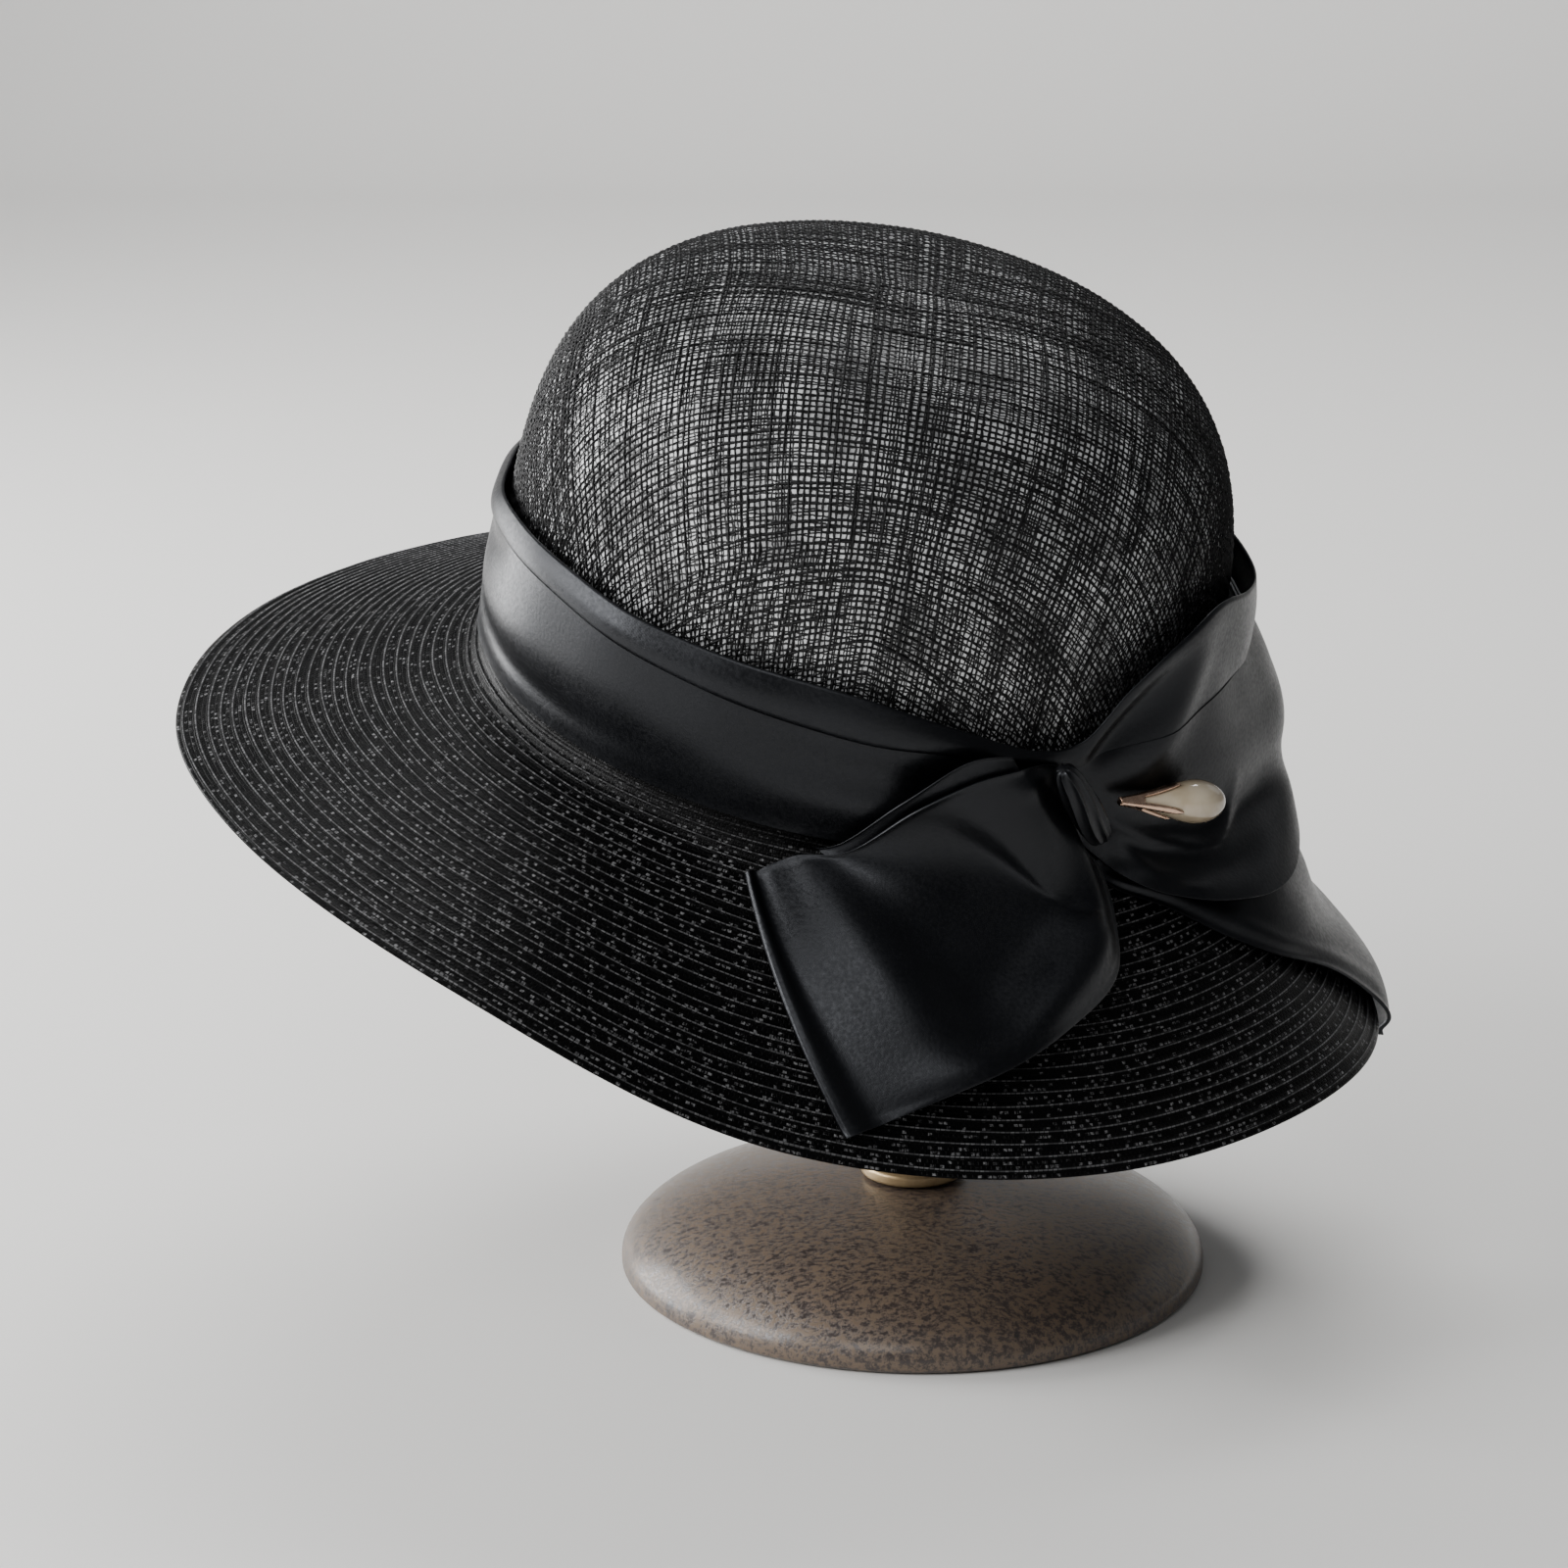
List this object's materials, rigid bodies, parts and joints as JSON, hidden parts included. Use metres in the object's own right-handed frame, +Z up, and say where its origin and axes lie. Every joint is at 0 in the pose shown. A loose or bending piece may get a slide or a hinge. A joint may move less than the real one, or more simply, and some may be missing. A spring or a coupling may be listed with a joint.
{
  "type": "sun hat on hat stand",
  "caption": "Wide-brimmed open-weave hat with a satin band, bow and pearl drop, resting on a domed metal hat stand.",
  "frame": {"origin": "centre of the underside of the stand's foot, on the floor", "axes": "+Z up, front of the hat towards -X, bow on the -Y and +X side (the wearer's left, towards the back)"},
  "size_m": [0.3295, 0.3094, 0.2911],
  "materials": {
    "crown_cloth": "open plain weave, stiffened, dull",
    "brim_braid": "sewn rows of flat braid, slight sheen",
    "satin": "satin, soft sheen",
    "pearl": "pearl lustre",
    "claw_gold": "polished rose gold",
    "stand_metal": "antique brown patina",
    "stand_brass": "antique brass"
  },
  "bodies": {
    "root": {"crown": "crown_cloth", "brim": "brim_braid", "band": "satin", "bow_left_tail": "satin", "bow_right_tail": "satin", "bow_knot": "satin", "pearl": "pearl", "pearl_claw": "claw_gold", "stand_foot": "stand_metal", "stand_post": "stand_brass"}
  },
  "joints": []
}
